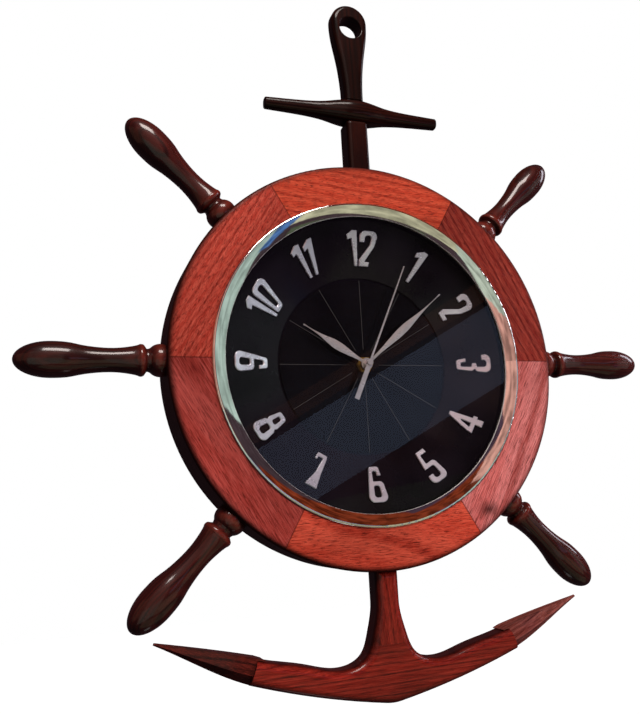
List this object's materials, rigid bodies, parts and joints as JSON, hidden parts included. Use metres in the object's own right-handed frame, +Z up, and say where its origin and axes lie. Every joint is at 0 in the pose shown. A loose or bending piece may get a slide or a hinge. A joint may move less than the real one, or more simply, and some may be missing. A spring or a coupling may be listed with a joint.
{
  "type": "ship's-wheel wall clock",
  "caption": "Wall clock in a segmented wooden ship's wheel with turned handles, an anchor above and below, a dished black dial under glass and a geared quartz movement behind it.",
  "frame": {"origin": "centre of the hanging eye, midway through the thickness of its shank", "axes": "+Z up along the anchor's shank, -Y out of the dial towards the viewer, +Y towards the wall, +X to the viewer's right"},
  "size_m": [0.49, 0.0434, 0.5308],
  "materials": {
    "rim_wood": "satin varnish over red-brown stain",
    "handle_wood": "gloss varnish over dark red-brown stain",
    "anchor_wood": "gloss varnish over dark red-brown stain",
    "dowel_wood": "bare",
    "bezel_chrome": "polished",
    "clear_glass": "clear",
    "gasket_rubber": "matte",
    "dial_lacquer": "gloss black",
    "silver_trim": "polished with bright edges",
    "hand_metal": "polished",
    "nut_brass": "machined",
    "movement_plastic": "fine matte moulding",
    "knob_plastic": "fine matte moulding",
    "board_laminate": "solder mask",
    "steel": "stamped",
    "gear_plastic": "moulded",
    "copper_wire": "enamelled",
    "battery_jacket": "printed film without any mark"
  },
  "bodies": {
    "wheel_frame": {"rim_segment_1": "rim_wood", "rim_segment_2": "rim_wood", "rim_segment_3": "rim_wood", "rim_segment_4": "rim_wood", "rim_segment_5": "rim_wood", "rim_segment_6": "rim_wood", "handle_1": "handle_wood", "handle_2": "handle_wood", "handle_3": "handle_wood", "handle_4": "handle_wood", "handle_5": "handle_wood", "handle_6": "handle_wood", "eye_shank": "anchor_wood", "stock": "anchor_wood", "upper_shank": "anchor_wood", "lower_shank": "anchor_wood", "anchor_arms": "anchor_wood", "fluke_left": "anchor_wood", "fluke_right": "anchor_wood", "stock_dowel": "dowel_wood", "bezel": "bezel_chrome", "glass": "clear_glass", "gasket": "gasket_rubber", "dial_pan": "dial_lacquer", "dial_centre": "dial_lacquer", "numerals": "silver_trim", "bush_nut": "nut_brass", "movement_case": "movement_plastic", "movement_cover": "movement_plastic", "circuit_board": "board_laminate", "quartz_crystal": "steel", "coil_core": "steel", "stator": "steel", "coil_bobbin": "gear_plastic", "coil_winding": "copper_wire", "battery": "battery_jacket", "contact_plus": "steel", "contact_minus": "steel"},
    "second_arbor": {"second_wheel": "gear_plastic", "second_hand": "hand_metal"},
    "fifth_arbor": {"fifth_wheel": "gear_plastic"},
    "motor_rotor": {"rotor": "gear_plastic"},
    "third_arbor": {"third_wheel": "gear_plastic"},
    "minute_tube": {"centre_wheel": "gear_plastic", "minute_hand": "hand_metal", "minute_nut": "silver_trim"},
    "motion_work": {"motion_wheel": "gear_plastic"},
    "hour_tube": {"hour_wheel": "gear_plastic", "hour_hand": "hand_metal"},
    "setter": {"set_arbor": "gear_plastic", "set_knob": "knob_plastic"}
  },
  "joints": [
    {"name": "second_spin", "type": "hinge", "parent": "wheel_frame", "child": "second_arbor", "pos_m": [0, 0.0113, -0.2736], "axis": [0, 1, 0], "continuous": true},
    {"name": "fifth_spin", "type": "hinge", "parent": "wheel_frame", "child": "fifth_arbor", "pos_m": [0.01091, 0.0113, -0.2673], "axis": [0, 1, 0], "continuous": true},
    {"name": "rotor_spin", "type": "hinge", "parent": "wheel_frame", "child": "motor_rotor", "pos_m": [0.01871, 0.0113, -0.2628], "axis": [0, 1, 0], "continuous": true},
    {"name": "third_spin", "type": "hinge", "parent": "wheel_frame", "child": "third_arbor", "pos_m": [-0.0106, 0.0113, -0.26748], "axis": [0, 1, 0], "continuous": true},
    {"name": "minute_spin", "type": "hinge", "parent": "wheel_frame", "child": "minute_tube", "pos_m": [0, 0.0113, -0.2736], "axis": [0, 1, 0], "continuous": true},
    {"name": "motion_spin", "type": "hinge", "parent": "wheel_frame", "child": "motion_work", "pos_m": [0, 0.0113, -0.2636], "axis": [0, 1, 0], "continuous": true},
    {"name": "hour_spin", "type": "hinge", "parent": "wheel_frame", "child": "hour_tube", "pos_m": [0, 0.0113, -0.2736], "axis": [0, 1, 0], "continuous": true},
    {"name": "setter_spin", "type": "hinge", "parent": "wheel_frame", "child": "setter", "pos_m": [0, 0.0113, -0.2536], "axis": [0, 1, 0], "continuous": true}
  ],
  "couplings": [
    {"joint": "fifth_spin", "follows": "second_spin", "ratio": -6},
    {"joint": "rotor_spin", "follows": "second_spin", "ratio": 30},
    {"joint": "third_spin", "follows": "second_spin", "ratio": -0.13333},
    {"joint": "minute_spin", "follows": "second_spin", "ratio": 0.016667},
    {"joint": "motion_spin", "follows": "second_spin", "ratio": -0.0055556},
    {"joint": "hour_spin", "follows": "second_spin", "ratio": 0.0013889},
    {"joint": "setter_spin", "follows": "second_spin", "ratio": 0.016667}
  ]
}
